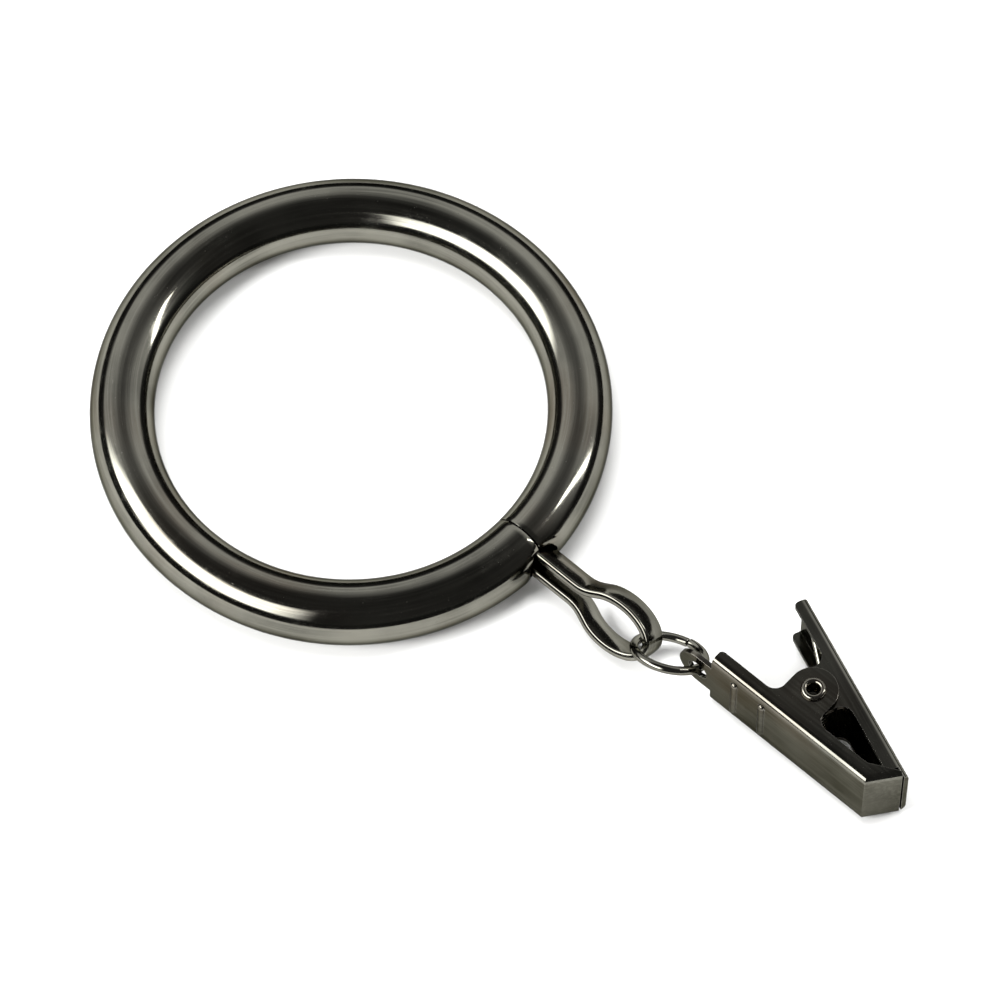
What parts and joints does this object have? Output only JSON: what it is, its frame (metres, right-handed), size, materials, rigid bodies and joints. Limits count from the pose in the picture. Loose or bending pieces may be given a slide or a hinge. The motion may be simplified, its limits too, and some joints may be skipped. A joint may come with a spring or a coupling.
{
  "type": "curtain ring with clip",
  "caption": "Steel curtain ring for a pole, with a swivelling eyelet, a jump ring and a sprung drapery clip, in dark polished nickel.",
  "frame": {"origin": "centre of the curtain ring, on the middle plane of its tube", "axes": "+Z along the ring's axis, -Y from the ring's centre towards the eyelet and the clip"},
  "size_m": [0.0508, 0.0927, 0.009],
  "materials": {
    "ring": "polished black nickel plate on steel",
    "eyelet": "polished black nickel plate on steel",
    "jump_ring": "polished black nickel plate on steel",
    "clip_sheet": "polished black nickel plate on steel",
    "rivet": "polished black nickel plate on steel",
    "spring": "plated spring steel wire"
  },
  "bodies": {
    "ring": {"ring": "ring"},
    "eyelet": {"eyelet": "eyelet"},
    "jump_ring": {"jump_ring": "jump_ring"},
    "tail_jaw": {"tail_jaw": "clip_sheet", "pivot_rivet": "rivet", "torsion_spring": "spring"},
    "lever_jaw": {"lever_jaw": "clip_sheet"}
  },
  "joints": [
    {"name": "eyelet_swivel", "type": "hinge", "parent": "ring", "child": "eyelet", "pos_m": [0, -0.0254, 0], "axis": [0, 1, 0], "continuous": true},
    {"name": "link_swing", "type": "hinge", "parent": "eyelet", "child": "jump_ring", "pos_m": [0, -0.0374, 0], "axis": [-0.8191, 0, 0.5736], "range_deg": [-70, 70]},
    {"name": "clip_swing", "type": "hinge", "parent": "jump_ring", "child": "tail_jaw", "pos_m": [0.00093, -0.04411, 0.00133], "axis": [-0.8191, 0, 0.5736], "range_deg": [-70, 70]},
    {"name": "jaw_open", "type": "hinge", "parent": "tail_jaw", "child": "lever_jaw", "pos_m": [0.00478, -0.05491, 0.00133], "axis": [0, 0, 1], "range_deg": [0, 40], "stiffness_Nm_per_rad": 0.03, "springref_deg": -45.84, "deforming": ["torsion_spring"]}
  ]
}
